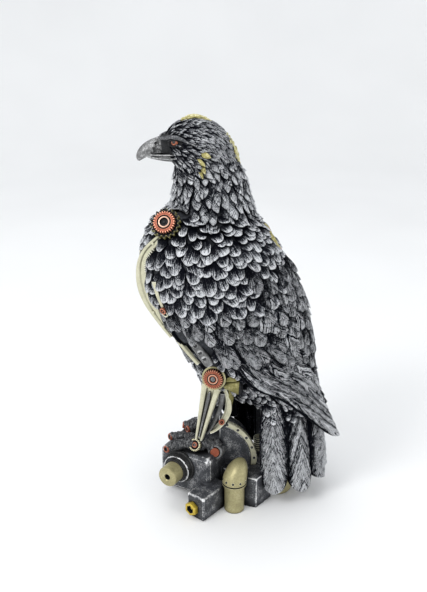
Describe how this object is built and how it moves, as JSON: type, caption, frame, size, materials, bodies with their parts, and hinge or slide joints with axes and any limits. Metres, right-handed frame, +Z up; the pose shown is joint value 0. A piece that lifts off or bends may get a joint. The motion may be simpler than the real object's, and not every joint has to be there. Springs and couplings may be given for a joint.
{
  "type": "steampunk eagle figurine",
  "caption": "Perched eagle figurine with folded wings and mechanical fittings, standing on a cast engine plinth.",
  "frame": {"origin": "on the plinth's flat underside, below the middle of the eagle", "axes": "+Z up, -Y the way the breast and beak face, +X the eagle's left wing"},
  "size_m": [0.1019, 0.1377, 0.2795],
  "materials": {
    "cast_grey": "antique silver dry-brushed over near-black",
    "engine_dark": "dark charcoal with silver-worn edges",
    "brass": "aged pale brass with olive-dark recesses",
    "copper": "bright salmon copper with dark recesses"
  },
  "bodies": {
    "root": {"ankle_gear": "brass", "calf_bow": "brass", "copper_plug": "copper", "crown_plate": "brass", "eagle": "cast_grey", "hex_nut": "brass", "knee_cap": "brass", "knee_gear": "copper", "knee_wheel": "brass", "link_rod": "brass", "nape_plate": "brass", "nozzle": "brass", "pipe_dome": "brass", "plinth": "engine_dark", "rear_drum": "brass", "ribbed_coil": "brass", "rim_band": "brass", "shin_plate": "brass", "shoulder_gear": "copper", "shoulder_wheel": "brass", "spine_rod": "brass", "standpipe": "brass", "thigh_plate": "brass", "thigh_rod": "brass", "wing_strap_left": "brass", "wing_strap_right": "brass"}
  },
  "joints": []
}
